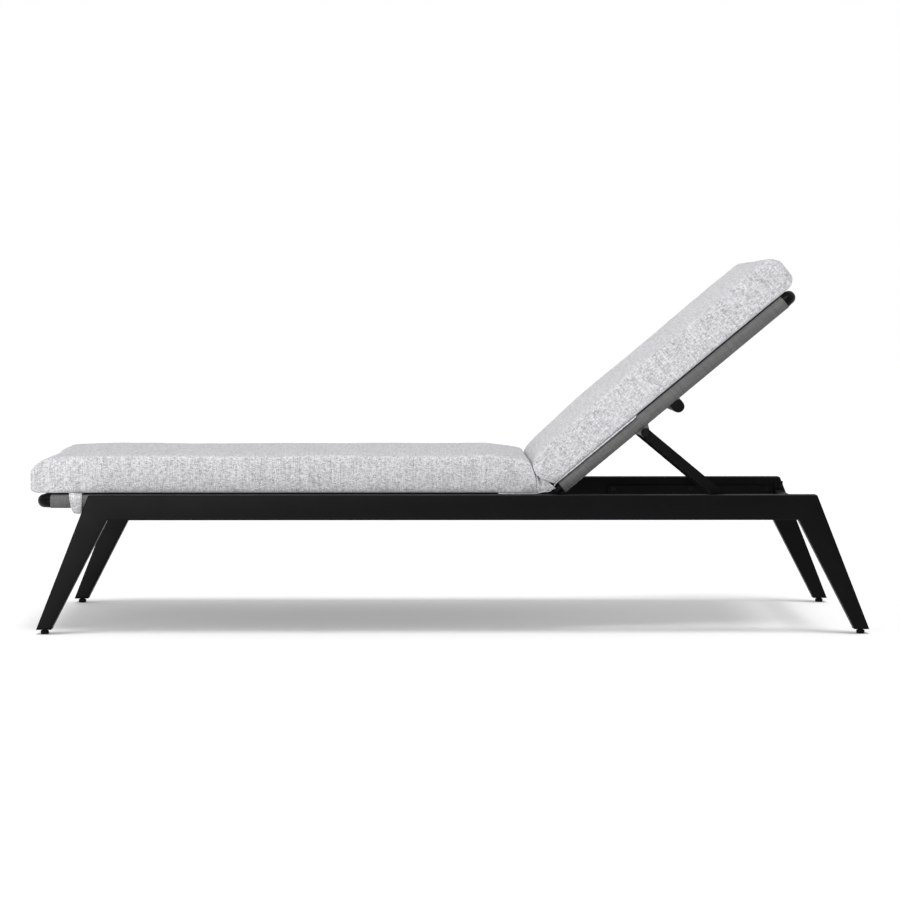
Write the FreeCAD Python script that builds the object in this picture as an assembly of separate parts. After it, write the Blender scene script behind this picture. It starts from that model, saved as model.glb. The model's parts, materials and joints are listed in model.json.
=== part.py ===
"""Reclining sun lounger: powder-coated frame, hinged back with a support bail, sling and cushions.

Millimetres, +Z up, floor at Z = 0. The foot end points to -X, the head end to +X, and the left side
is -Y. The back is drawn flat first and then raised about the hinge to its rest angle.
"""
import FreeCAD, Part

import math
import os

# ---- side frames: rails and tapered legs -------------------------------------------------------
HALF_WIDTH = 350.0
SIDE_TUBE_WIDTH = 40.0
SIDE_WALL = 1.5
RAIL_TOP = 335.0
RAIL_BOTTOM = 275.0
RAIL_TOP_END = 873.0
RAIL_BOTTOM_END = 829.0
LEG_FOOT_Z = 13.5
LEG_FOOT_OUTER = 1000.0
LEG_FOOT_INNER = 964.0

# ---- feet ---------------------------------------------------------------------------------------
GLIDE_X = 981.8
GLIDE_PAD_RADIUS = 10.0
GLIDE_PAD_HEIGHT = 8.5
GLIDE_STUD_RADIUS = 4.0
GLIDE_STUD_TOP = 38.0
PLUG_FLANGE_BOTTOM = 12.0
PLUG_TOP = 42.0
THREAD_GAP = 0.05

# ---- round tubes of the seat and the back -------------------------------------------------------
TUBE_RADIUS = 15.0
TUBE_WALL = 1.5
TUBE_Y = 284.0
TUBE_Z = 316.0
CORNER_RADIUS = 24.0
CROSS_TUBE_RADIUS = 10.0
SEAT_FOOT_END = -1005.0
SEAT_TUBE_REAR = 212.0
SEAT_REAR_TUBE_X = 188.0

# ---- hinge and back, measured along the back from the hinge ------------------------------------
HINGE_X = 231.7
HINGE_Z = 287.6
REST_ANGLE = 39.75
FULL_ANGLE = 70.0
BACK_TUBE_START = 48.0
BACK_TUBE_END = 794.0
BACK_LOWER_TUBE = 82.0
STRETCHER = 405.0
STRETCHER_RADIUS = 15.0
STRETCHER_HALF = 286.0
CAP_THICKNESS = 1.8
EAR_Y = 281.0
EAR_THICKNESS = 6.0
EAR_RADIUS = 12.0
HINGE_BOLT_RADIUS = 5.0
HINGE_BUSH_RADIUS = 7.0

# ---- support bail -------------------------------------------------------------------------------
ARM_LENGTH = 303.7
ARM_Y = 289.0
ARM_THICKNESS = 6.0
ARM_RADIUS = 11.0
ROD_RADIUS = 5.0
ROD_HALF = 309.0
PIVOT_BOLT_RADIUS = 4.0
ARM_BUSH_RADIUS = 6.0
RUNNING_GAP = 0.05

# ---- notched racks inside the rails --------------------------------------------------------------
RACK_Y = 302.0
RACK_START = 416.0
RACK_END = 853.0
RACK_TOP = 313.0
RACK_SCREW_Z = 304.0
SLOT_START = 430.0
SLOT_END = 849.0
SLOT_TOP = 294.5
ROD_TO_RACK_GAP = 0.5
NOTCH_RADIUS = 5.6
NOTCH_DEPTH = 3.6
RACK_ANGLES = (0.0, 15.0, 30.0, REST_ANGLE, 50.0, 60.0, FULL_ANGLE)

# ---- cross beams ---------------------------------------------------------------------------------
BEAM_BOTTOM = 278.0
BEAM_TOP = 298.0
SEAT_BEAMS = {"foot": -800.0, "centre": -325.0, "hinge": 140.0}
SEAT_BEAM_WIDTH = 40.0
HEAD_BEAM_X = 868.0
HEAD_BEAM_WIDTH = 24.0
BEAM_PLATE = 3.0
BEAM_PLATE_TOP = 324.0
BEAM_SCREW_Z = 312.0
SCREW_RADIUS = 3.0
SCREW_HOLE = 3.3
SCREW_HEAD_RADIUS = 5.2
INSERT_RADIUS = 4.6

# ---- sling, cushions and straps -----------------------------------------------------------------
SLING_GAP = 0.2
SLING_THICKNESS = 1.0
SEAT_SLING_START = -964.0
SEAT_SLING_END = 205.0
BACK_SLING_START = 64.0
BACK_SLING_END = 754.0
CUSHION_BOTTOM = 335.6
CUSHION_HALF_WIDTH = 296.0
SEAT_CUSHION_FOOT = -1010.0
SEAT_CUSHION_TOP = 426.0
BACK_CUSHION_END = 812.0
BACK_CUSHION_TOP = 420.0
WEDGE_ANGLE = FULL_ANGLE / 2.0 + 0.4
CUSHION_ROUNDING = 22.0
STRAP_X = (-925.0, -894.5)
STRAP_BOTTOM = 287.0
STRAP_THICKNESS = 1.6
FLAP = (128.0, 222.0)
FLAP_HALF_WIDTH = 288.0
FLAP_THICKNESS = 1.5

SIDES = {"left": -1.0, "right": 1.0}
SLING_OUTER = TUBE_RADIUS + SLING_GAP + SLING_THICKNESS
CAP_TOP = TUBE_Z - SLING_OUTER - 0.1
PANEL_BOTTOM = TUBE_Z + SLING_OUTER + 0.1
PANEL_TOP = PANEL_BOTTOM + 1.2
INNER_FACE = HALF_WIDTH - SIDE_TUBE_WIDTH
SIDE_MIDDLE = HALF_WIDTH - SIDE_TUBE_WIDTH / 2.0
ALONG_Y = FreeCAD.Vector(0, 1, 0)
DOWN_Y = FreeCAD.Vector(0, -1, 0)
UP = FreeCAD.Vector(0, 0, 1)


def point(x, y, z):
    return FreeCAD.Vector(x, y, z)


def box(x, y, z):
    """A box from three (low, high) pairs, in any order."""
    low = point(min(x), min(y), min(z))
    size = [max(pair) - min(pair) for pair in (x, y, z)]
    return Part.makeBox(size[0], size[1], size[2], low)


def rod_y(radius, y0, y1, x, z):
    """A round bar along Y."""
    return Part.makeCylinder(radius, abs(y1 - y0), point(x, min(y0, y1), z), ALONG_Y)


def rod_z(radius, z0, z1, x, y):
    """A round bar along Z."""
    return Part.makeCylinder(radius, z1 - z0, point(x, y, z0), UP)


def rod_x(radius, x0, x1, y, z):
    """A round bar along X."""
    return Part.makeCylinder(radius, x1 - x0, point(x0, y, z), point(1, 0, 0))


def ring_y(outer, inner, y0, y1, x, z):
    """A sleeve or washer along Y."""
    return rod_y(outer, y0, y1, x, z).cut(rod_y(inner, y0, y1, x, z))


def prism(outline, y0, y1):
    """An outline of (x, z) points, extruded along Y."""
    corners = [point(x, min(y0, y1), z) for x, z in outline]
    face = Part.Face(Part.makePolygon(corners + corners[:1]))
    return face.extrude(point(0, abs(y1 - y0), 0))


def rounded_outline(corners, radii, y):
    """A closed wire of straight runs with a tangent arc at each (x, z) corner."""
    starts, middles, ends = [], [], []
    count = len(corners)
    for i, (x, z) in enumerate(corners):
        here = point(x, y, z)
        before = point(corners[i - 1][0], y, corners[i - 1][1]).sub(here).normalize()
        nxt = corners[(i + 1) % count]
        after = point(nxt[0], y, nxt[1]).sub(here).normalize()
        half = before.getAngle(after) / 2.0
        reach = radii[i] / math.tan(half)
        bisector = before.add(after).normalize()
        centre = here.add(bisector.multiply(radii[i] / math.sin(half)))
        inward = here.sub(centre).normalize()
        starts.append(here.add(before.multiply(reach)))
        middles.append(centre.add(inward.multiply(radii[i])))
        ends.append(here.add(after.multiply(reach)))
    edges = []
    for i in range(count):
        edges.append(Part.Arc(starts[i], middles[i], ends[i]).toShape())
        edges.append(Part.LineSegment(ends[i], starts[(i + 1) % count]).toShape())
    return Part.Wire(edges)


def raised(shape, angle=REST_ANGLE):
    """The shape, drawn on the flat back, turned up about the hinge."""
    turned = shape.copy()
    turned.rotate(point(HINGE_X, 0, HINGE_Z), DOWN_Y, angle)
    return turned


def bail_x(angle):
    """Where the bail's rod lies along X when the back is at this angle: two equal links."""
    return HINGE_X + 2.0 * ARM_LENGTH * math.cos(math.radians(angle))


def save(node, shape):
    shape.exportStep("parts/" + node + ".step")


def save_group(node, solids):
    save(node, Part.makeCompound(solids))


# ---- side frames ----------------------------------------------------------------------------------
def along_leg(z, foot_x, top_x, top_z):
    """X of a leg's edge at height z."""
    share = (z - LEG_FOOT_Z) / (top_z - LEG_FOOT_Z)
    return foot_x + (top_x - foot_x) * share


def leg_core(z_low, z_high, wall):
    """Outline of the leg inset by a wall, between two heights."""
    outer = [along_leg(z, LEG_FOOT_OUTER, RAIL_TOP_END, RAIL_TOP) - wall for z in (z_low, z_high)]
    inner = [along_leg(z, LEG_FOOT_INNER, RAIL_BOTTOM_END, RAIL_BOTTOM) + wall for z in (z_low, z_high)]
    return [(inner[0], z_low), (outer[0], z_low), (outer[1], z_high), (inner[1], z_high)]


def screw_bores():
    """Every hole that a screw or an insert needs in the inner walls, for the +Y side."""
    bores = []
    for x, z in beam_screw_places() + rack_screw_places():
        bores.append(rod_y(INSERT_RADIUS, INNER_FACE - 1, INNER_FACE + 5, x, z))
    bores.append(rod_y(HINGE_BUSH_RADIUS + 0.6, INNER_FACE - 1, INNER_FACE + 5, HINGE_X, HINGE_Z))
    return bores


def beam_screw_places():
    places = []
    for x in SEAT_BEAMS.values():
        places += [(x - 12.0, BEAM_SCREW_Z), (x + 12.0, BEAM_SCREW_Z)]
    places += [(HEAD_BEAM_X - 6.0, BEAM_SCREW_Z), (HEAD_BEAM_X + 6.0, BEAM_SCREW_Z)]
    return places


def rack_screw_places():
    middle = (RACK_START + RACK_END) / 2.0
    return [(RACK_START + 14.0, RACK_SCREW_Z), (middle, RACK_SCREW_Z), (RACK_END - 14.0, RACK_SCREW_Z)]


def mirrored(shape, side):
    """The +Y shape itself, or its mirror image for the left side."""
    if side > 0:
        return shape
    return shape.mirror(point(0, 0, 0), ALONG_Y)


def make_rail():
    outline = [
        (-RAIL_TOP_END, RAIL_TOP), (RAIL_TOP_END, RAIL_TOP),
        (RAIL_BOTTOM_END, RAIL_BOTTOM), (-RAIL_BOTTOM_END, RAIL_BOTTOM),
    ]
    slope = (RAIL_TOP_END - RAIL_BOTTOM_END) / (RAIL_TOP - RAIL_BOTTOM) * SIDE_WALL
    core = [
        (-RAIL_TOP_END - 1 + slope, RAIL_TOP - SIDE_WALL), (RAIL_TOP_END + 1 - slope, RAIL_TOP - SIDE_WALL),
        (RAIL_BOTTOM_END + 1 + slope, RAIL_BOTTOM + SIDE_WALL),
        (-RAIL_BOTTOM_END - 1 - slope, RAIL_BOTTOM + SIDE_WALL),
    ]
    rail = prism(outline, INNER_FACE, HALF_WIDTH)
    rail = rail.cut(prism(core, INNER_FACE + SIDE_WALL, HALF_WIDTH - SIDE_WALL))
    return rail.cut(Part.makeCompound(screw_bores()))


def make_leg():
    """The head leg; the foot leg is its mirror image. Its top is mitred to the rail."""
    mitre_rise = RAIL_TOP - RAIL_BOTTOM
    outline = [
        (RAIL_TOP_END, RAIL_TOP), (LEG_FOOT_OUTER, LEG_FOOT_Z),
        (LEG_FOOT_INNER, LEG_FOOT_Z), (RAIL_BOTTOM_END, RAIL_BOTTOM),
    ]
    leg = prism(outline, INNER_FACE, HALF_WIDTH)
    core = prism(leg_core(LEG_FOOT_Z - 1, RAIL_TOP + mitre_rise, SIDE_WALL * 1.1),
                 INNER_FACE + SIDE_WALL, HALF_WIDTH - SIDE_WALL)
    return leg.cut(core).cut(Part.makeCompound(screw_bores()))


def make_side_frames():
    rail = make_rail()
    leg = make_leg()
    foot_leg = leg.mirror(point(0, 0, 0), point(1, 0, 0))
    for name, side in SIDES.items():
        save("rail_" + name, mirrored(rail, side))
        save("head_leg_" + name, mirrored(leg, side))
        save("foot_leg_" + name, mirrored(foot_leg, side))


def make_feet():
    """Plugs in the four leg ends and the levelling glides screwed up into them."""
    flange = prism([
        (LEG_FOOT_INNER, PLUG_FLANGE_BOTTOM), (LEG_FOOT_OUTER, PLUG_FLANGE_BOTTOM),
        (LEG_FOOT_OUTER, LEG_FOOT_Z), (LEG_FOOT_INNER, LEG_FOOT_Z),
    ], INNER_FACE, HALF_WIDTH)
    core = prism(leg_core(LEG_FOOT_Z, PLUG_TOP, SIDE_WALL * 1.1 + 0.2),
                 INNER_FACE + SIDE_WALL + 0.2, HALF_WIDTH - SIDE_WALL - 0.2)
    bore = rod_z(GLIDE_STUD_RADIUS + THREAD_GAP, 0, PLUG_TOP + 1, GLIDE_X, SIDE_MIDDLE)
    plug = flange.fuse(core).cut(bore).removeSplitter()
    pad = rod_z(GLIDE_PAD_RADIUS, 0, GLIDE_PAD_HEIGHT, GLIDE_X, SIDE_MIDDLE)
    pad = pad.makeChamfer(1.0, [edge for edge in pad.Edges if edge.Closed])
    nut = rod_z(6.5, GLIDE_PAD_HEIGHT, PLUG_FLANGE_BOTTOM - 0.3, GLIDE_X, SIDE_MIDDLE)
    stud = rod_z(GLIDE_STUD_RADIUS, GLIDE_PAD_HEIGHT, GLIDE_STUD_TOP, GLIDE_X, SIDE_MIDDLE)
    glide = pad.fuse([nut, stud]).removeSplitter()
    plugs = []
    for end, flip in (("head", False), ("foot", True)):
        for name, side in SIDES.items():
            pieces = [plug, glide]
            if flip:
                pieces = [piece.mirror(point(0, 0, 0), point(1, 0, 0)) for piece in pieces]
            plugs.append(mirrored(pieces[0], side))
            save("glide_" + end + "_" + name, mirrored(pieces[1], side))
    save_group("leg_plugs", plugs)


# ---- cross beams and fasteners --------------------------------------------------------------------
def make_beam(x, width, bolted_to_tubes):
    low, high = x - width / 2.0, x + width / 2.0
    beam = box((low, high), (-INNER_FACE, INNER_FACE), (BEAM_BOTTOM, BEAM_TOP))
    inner = box((low + SIDE_WALL, high - SIDE_WALL), (-INNER_FACE, INNER_FACE),
                (BEAM_BOTTOM + SIDE_WALL, BEAM_TOP - SIDE_WALL))
    beam = beam.cut(inner)
    screw_x = [place[0] for place in beam_screw_places() if abs(place[0] - x) < width]
    for side in SIDES.values():
        plate = box((low, high), (side * (INNER_FACE - BEAM_PLATE), side * INNER_FACE),
                    (BEAM_BOTTOM, BEAM_PLATE_TOP))
        beam = beam.fuse(plate)
        for place in screw_x:
            hole = rod_y(SCREW_HOLE, side * (INNER_FACE - BEAM_PLATE - 1), side * (INNER_FACE + 1),
                         place, BEAM_SCREW_Z)
            beam = beam.cut(hole)
        if bolted_to_tubes:
            beam = beam.cut(rod_z(SCREW_HOLE, BEAM_BOTTOM - 1, BEAM_TOP + 1, x, side * TUBE_Y))
    return beam.removeSplitter()


def screw_y(side, x, z, head_start, head_height, tip):
    """A screw driven outwards along Y from its head's inner face."""
    head = rod_y(SCREW_HEAD_RADIUS, side * head_start, side * (head_start + head_height), x, z)
    socket = rod_y(2.0, side * head_start, side * (head_start + head_height * 0.6), x, z)
    shank = rod_y(SCREW_RADIUS, side * (head_start + head_height), side * tip, x, z)
    return head.fuse(shank).cut(socket).removeSplitter()


def insert_y(side, x, z, radius, bore, start, length):
    """A threaded insert held in the rail's inner wall."""
    return ring_y(radius, bore, side * start, side * (start + length), x, z)


def make_beams():
    screws, inserts = [], []
    for name, x in SEAT_BEAMS.items():
        save("cross_beam_" + name, make_beam(x, SEAT_BEAM_WIDTH, True))
    save("cross_beam_head", make_beam(HEAD_BEAM_X, HEAD_BEAM_WIDTH, False))
    head_start = INNER_FACE - BEAM_PLATE - 3.0
    for side in SIDES.values():
        for x, z in beam_screw_places():
            screws.append(screw_y(side, x, z, head_start, 3.0, INNER_FACE + 14.0))
        for x, z in beam_screw_places() + rack_screw_places():
            inserts.append(insert_y(side, x, z, INSERT_RADIUS - 0.05, SCREW_RADIUS + 0.1, INNER_FACE, 11.0))
        inserts.append(insert_y(side, HINGE_X, HINGE_Z, HINGE_BUSH_RADIUS + 0.5,
                                HINGE_BOLT_RADIUS + 0.1, INNER_FACE, 15.0))
    save_group("beam_screws", screws)
    save_group("rail_inserts", inserts)


def tube_bolt_bores():
    """Holes for the bolts that hold the seat tubes down on the beams."""
    bores = []
    for x in SEAT_BEAMS.values():
        for side in SIDES.values():
            bores.append(rod_z(SCREW_HOLE, BEAM_BOTTOM, TUBE_Z, x, side * TUBE_Y))
    return bores


def make_saddles():
    """Plastic cradles between the beams and the seat tubes, their bolts, and the back's rest pads."""
    saddles, bolts, pads = [], [], []
    bores = Part.makeCompound(tube_bolt_bores())
    for x in SEAT_BEAMS.values():
        for side in SIDES.values():
            middle = side * TUBE_Y
            block = box((x - 16, x + 16), (middle - 17, middle + 17), (BEAM_TOP, BEAM_TOP + 9))
            hollow = rod_x(SLING_OUTER + 0.1, x - 20, x + 20, middle, TUBE_Z)
            saddles.append(block.cut(hollow).cut(bores))
            head = rod_z(SCREW_HEAD_RADIUS, BEAM_BOTTOM - 3.0, BEAM_BOTTOM, x, middle)
            shank = rod_z(SCREW_RADIUS, BEAM_BOTTOM, TUBE_Z - TUBE_RADIUS + 8.0, x, middle)
            bolts.append(head.fuse(shank))
    for side in SIDES.values():
        pads.append(box((HEAD_BEAM_X - 10, HEAD_BEAM_X + 10), (side * 270, side * 298), (BEAM_TOP, BEAM_TOP + 1.5)))
    save_group("seat_saddles", saddles)
    save_group("saddle_bolts", bolts)
    save_group("back_rest_pads", pads)


# ---- seat and back tubes ---------------------------------------------------------------------------
def bent_side_tube(open_end, corner_end):
    """Side tube on +Y with a quarter bend inwards at its corner end, drawn at the seat's height."""
    direction = 1.0 if corner_end > open_end else -1.0
    bend_x = corner_end - direction * (TUBE_RADIUS + CORNER_RADIUS)
    solids = []
    for radius in (TUBE_RADIUS, TUBE_RADIUS - TUBE_WALL):
        straight = rod_x(radius, min(open_end, bend_x), max(open_end, bend_x), TUBE_Y, TUBE_Z)
        circle = Part.Face(Part.Wire(Part.makeCircle(radius, point(bend_x, TUBE_Y, TUBE_Z), point(1, 0, 0))))
        bend = circle.revolve(point(bend_x, TUBE_Y - CORNER_RADIUS, TUBE_Z), UP, -90.0 * direction)
        solids.append(straight.fuse(bend))
    return solids[0].cut(solids[1]).removeSplitter()


def cross_tube(x, z, radius, half, wall=TUBE_WALL):
    return ring_y(radius, radius - wall, -half, half, x, z)


def tube_plug(x, direction):
    """Push-in cap of an open tube end on +Y; direction points out of the tube."""
    ends = sorted((x, x + direction * 2.0))
    cap = rod_x(TUBE_RADIUS, ends[0], ends[1], TUBE_Y, TUBE_Z)
    neck_ends = sorted((x, x - direction * 14.0))
    neck = rod_x(TUBE_RADIUS - TUBE_WALL - 0.1, neck_ends[0], neck_ends[1], TUBE_Y, TUBE_Z)
    return cap.fuse(neck).removeSplitter()


def saddle_cut(tube, main_x):
    """Coped ends of a small cross tube, so that it meets the round side tubes."""
    for side in SIDES.values():
        tube = tube.cut(rod_x(TUBE_RADIUS, main_x - 30, main_x + 30, side * TUBE_Y, TUBE_Z))
    return tube


def make_seat_frame():
    tube = bent_side_tube(SEAT_TUBE_REAR, SEAT_FOOT_END)
    bores = Part.makeCompound(tube_bolt_bores())
    for name, side in SIDES.items():
        save("seat_tube_" + name, mirrored(tube, side).cut(bores))
    foot_x = SEAT_FOOT_END + TUBE_RADIUS
    save("seat_foot_tube", cross_tube(foot_x, TUBE_Z, TUBE_RADIUS, TUBE_Y - CORNER_RADIUS))
    rear = cross_tube(SEAT_REAR_TUBE_X, TUBE_Z, CROSS_TUBE_RADIUS, TUBE_Y)
    save("seat_rear_tube", saddle_cut(rear, SEAT_REAR_TUBE_X))
    plug = tube_plug(SEAT_TUBE_REAR, 1.0)
    save_group("seat_tube_plugs", [mirrored(plug, side) for side in SIDES.values()])


def make_ear(centre_u, weld_low, weld_high, bore):
    """Plate on +Y below the back tube, with its boss at the hinge line's height."""
    boss = rod_y(EAR_RADIUS, EAR_Y, EAR_Y + EAR_THICKNESS, HINGE_X + centre_u, HINGE_Z)
    top = TUBE_Z - TUBE_RADIUS + 2.0
    edge = math.copysign(EAR_RADIUS * 0.7, weld_low + weld_high - 2.0 * centre_u)
    if abs(weld_low + weld_high - 2.0 * centre_u) < 1.0:
        web = prism([
            (HINGE_X + centre_u - EAR_RADIUS, HINGE_Z), (HINGE_X + centre_u + EAR_RADIUS, HINGE_Z),
            (HINGE_X + weld_high, top), (HINGE_X + weld_low, top),
        ], EAR_Y, EAR_Y + EAR_THICKNESS)
    else:
        web = prism([
            (HINGE_X + centre_u - edge * 0.55, HINGE_Z + EAR_RADIUS * 0.84),
            (HINGE_X + centre_u + edge * 0.75, HINGE_Z - EAR_RADIUS * 0.8),
            (HINGE_X + weld_high, top - 6.0), (HINGE_X + weld_high, top), (HINGE_X + weld_low, top),
        ], EAR_Y, EAR_Y + EAR_THICKNESS)
    ear = boss.fuse(web)
    ear = ear.cut(rod_x(TUBE_RADIUS, HINGE_X - 50, HINGE_X + 500, TUBE_Y, TUBE_Z))
    return ear.cut(rod_y(bore, EAR_Y - 1, EAR_Y + EAR_THICKNESS + 1, HINGE_X + centre_u, HINGE_Z)).removeSplitter()


def make_back_frame():
    tube = bent_side_tube(HINGE_X + BACK_TUBE_START, HINGE_X + BACK_TUBE_END)
    for name, side in SIDES.items():
        save("back_tube_" + name, raised(mirrored(tube, side)))
    top_x = HINGE_X + BACK_TUBE_END - TUBE_RADIUS
    save("back_top_tube", raised(cross_tube(top_x, TUBE_Z, TUBE_RADIUS, TUBE_Y - CORNER_RADIUS)))
    lower_x = HINGE_X + BACK_LOWER_TUBE
    lower = saddle_cut(cross_tube(lower_x, TUBE_Z, CROSS_TUBE_RADIUS, TUBE_Y), lower_x)
    save("back_lower_tube", raised(lower))
    stretcher_x = HINGE_X + STRETCHER
    stretcher_z = TUBE_Z - TUBE_RADIUS - STRETCHER_RADIUS
    save("back_stretcher", raised(cross_tube(stretcher_x, stretcher_z, STRETCHER_RADIUS, STRETCHER_HALF)))
    caps = []
    for side in SIDES.values():
        ends = sorted((side * STRETCHER_HALF, side * (STRETCHER_HALF + CAP_THICKNESS)))
        cap = rod_y(STRETCHER_RADIUS, ends[0], ends[1], stretcher_x, stretcher_z)
        cap = cap.fuse(box((stretcher_x - STRETCHER_RADIUS, stretcher_x + STRETCHER_RADIUS), ends,
                           (stretcher_z, CAP_TOP)))
        neck = rod_y(STRETCHER_RADIUS - TUBE_WALL - 0.1, side * (STRETCHER_HALF - 12), side * STRETCHER_HALF,
                     stretcher_x, stretcher_z)
        caps.append(raised(cap.fuse(neck).removeSplitter()))
    save_group("stretcher_caps", caps)
    plug = tube_plug(HINGE_X + BACK_TUBE_START, -1.0)
    save_group("back_tube_plugs", [raised(mirrored(plug, side)) for side in SIDES.values()])
    hinge_ear = make_ear(0.0, BACK_TUBE_START - 2.0, BACK_SLING_START - 1.0, HINGE_BUSH_RADIUS + 0.02)
    support_ear = make_ear(ARM_LENGTH, ARM_LENGTH - 20.0, ARM_LENGTH + 20.0, PIVOT_BOLT_RADIUS + 0.02)
    save_group("hinge_ears", [raised(mirrored(hinge_ear, side)) for side in SIDES.values()])
    save_group("support_ears", [raised(mirrored(support_ear, side)) for side in SIDES.values()])


# ---- hinge, bail and racks --------------------------------------------------------------------------
def make_hinge():
    """Shoulder bolts fixed in the rails; the back's bushed ears turn on them."""
    bolts, spacers, bushes = [], [], []
    for side in SIDES.values():
        head = rod_y(8.0, side * (EAR_Y - 8.0), side * (EAR_Y - 2.0), HINGE_X, HINGE_Z)
        socket = rod_y(3.5, side * (EAR_Y - 8.0), side * (EAR_Y - 4.5), HINGE_X, HINGE_Z)
        shank = rod_y(HINGE_BOLT_RADIUS, side * (EAR_Y - 2.0), side * (INNER_FACE + 14.0), HINGE_X, HINGE_Z)
        bolts.append(head.fuse(shank).cut(socket))
        spacers.append(ring_y(9.0, HINGE_BOLT_RADIUS + 0.1, side * (EAR_Y + EAR_THICKNESS + 0.5),
                              side * INNER_FACE, HINGE_X, HINGE_Z))
        bushes.append(ring_y(HINGE_BUSH_RADIUS, HINGE_BOLT_RADIUS + RUNNING_GAP, side * (EAR_Y - 0.8),
                             side * (EAR_Y + EAR_THICKNESS + 0.2), HINGE_X, HINGE_Z))
    save_group("hinge_bolts", bolts)
    save_group("hinge_spacers", spacers)
    save_group("hinge_bushes", [raised(bush) for bush in bushes])


def make_bail():
    """Two arms and the rod, drawn lying flat towards the head, then set to the rest angle."""
    pivot_x = HINGE_X + ARM_LENGTH
    rod_x_flat = pivot_x + ARM_LENGTH
    outer = ARM_Y + ARM_THICKNESS
    bar = prism([
        (pivot_x, HINGE_Z - ARM_RADIUS), (rod_x_flat, HINGE_Z - ARM_RADIUS),
        (rod_x_flat, HINGE_Z + ARM_RADIUS), (pivot_x, HINGE_Z + ARM_RADIUS),
    ], ARM_Y, outer)
    ends = [rod_y(ARM_RADIUS, ARM_Y, outer, x, HINGE_Z) for x in (pivot_x, rod_x_flat)]
    holes = [rod_y(ARM_BUSH_RADIUS + 0.02, ARM_Y, outer, pivot_x, HINGE_Z),
             rod_y(ROD_RADIUS + 0.02, ARM_Y, outer, rod_x_flat, HINGE_Z)]
    arm = bar.fuse(ends).removeSplitter().cut(Part.makeCompound(holes))
    rod = rod_y(ROD_RADIUS, -ROD_HALF, ROD_HALF, rod_x_flat, HINGE_Z)
    rod = rod.makeChamfer(0.8, [edge for edge in rod.Edges if edge.Closed])
    bush = ring_y(ARM_BUSH_RADIUS, PIVOT_BOLT_RADIUS + RUNNING_GAP, ARM_Y - 0.5, outer + 0.3, pivot_x, HINGE_Z)
    collar = ring_y(8.5, ROD_RADIUS + 0.02, outer + 0.2, outer + 4.0, rod_x_flat, HINGE_Z)
    head = rod_y(9.0, outer + 0.6, outer + 4.6, pivot_x, HINGE_Z)
    head = head.makeChamfer(0.8, [edge for edge in head.Edges if edge.Closed])
    washer = ring_y(8.0, PIVOT_BOLT_RADIUS + 0.02, EAR_Y + EAR_THICKNESS, ARM_Y - 0.8, pivot_x, HINGE_Z)
    shank = rod_y(PIVOT_BOLT_RADIUS, EAR_Y - 7.0, outer + 0.6, pivot_x, HINGE_Z)
    nut = ring_y(7.0, PIVOT_BOLT_RADIUS + 0.02, EAR_Y - 6.5, EAR_Y, pivot_x, HINGE_Z)

    def swung(shape):
        turned = shape.copy()
        turned.rotate(point(pivot_x, 0, HINGE_Z), ALONG_Y, 2.0 * REST_ANGLE)
        return raised(turned)

    for name, side in SIDES.items():
        save("support_arm_" + name, swung(mirrored(arm, side)))
    save("support_rod", swung(rod))
    save_group("arm_bushes", [swung(mirrored(bush, side)) for side in SIDES.values()])
    save_group("rod_collars", [swung(mirrored(collar, side)) for side in SIDES.values()])
    bolt = head.fuse(shank)
    save_group("pivot_bolts", [raised(mirrored(bolt, side)) for side in SIDES.values()])
    nuts = [mirrored(piece, side) for side in SIDES.values() for piece in (nut, washer)]
    save_group("pivot_nuts", [raised(piece) for piece in nuts])


def make_racks():
    """Slotted plates on the rails, with a notch below the rod for each angle of the back."""
    tip_z = HINGE_Z - ROD_RADIUS - ROD_TO_RACK_GAP
    plate = box((RACK_START, RACK_END), (RACK_Y, INNER_FACE), (RAIL_BOTTOM, RACK_TOP))
    plate = plate.cut(box((SLOT_START, SLOT_END), (RACK_Y - 1, INNER_FACE + 1), (tip_z, SLOT_TOP)))
    for angle in RACK_ANGLES:
        plate = plate.cut(rod_y(NOTCH_RADIUS, RACK_Y - 1, INNER_FACE + 1, bail_x(angle), HINGE_Z - NOTCH_DEPTH))
    for x, z in rack_screw_places():
        plate = plate.cut(rod_y(SCREW_HOLE, RACK_Y - 1, INNER_FACE + 1, x, z))
        plate = plate.cut(rod_y(SCREW_HEAD_RADIUS + 0.3, RACK_Y - 1, RACK_Y + 3.3, x, z))
    screws = []
    for name, side in SIDES.items():
        save("rack_" + name, mirrored(plate, side))
        for x, z in rack_screw_places():
            screws.append(screw_y(side, x, z, RACK_Y + 0.2, 3.0, INNER_FACE + 14.0))
    save_group("rack_screws", screws)


# ---- soft parts ---------------------------------------------------------------------------------------
def sling_hem(start, end, low_side_cuts):
    """Sleeve of sling cloth round the +Y side tube, notched where brackets reach the tube."""
    outer = rod_x(SLING_OUTER, start, end, TUBE_Y, TUBE_Z)
    sleeve = outer.cut(rod_x(TUBE_RADIUS + SLING_GAP, start, end, TUBE_Y, TUBE_Z))
    for cutter in low_side_cuts:
        sleeve = sleeve.cut(cutter)
    return sleeve


def sling_panel(start, end, slits):
    """Taut sheet across the tops of the side tubes."""
    panel = box((start, end), (-TUBE_Y, TUBE_Y), (PANEL_BOTTOM, PANEL_TOP))
    for cutter in slits:
        panel = panel.cut(cutter)
    return panel


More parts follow.
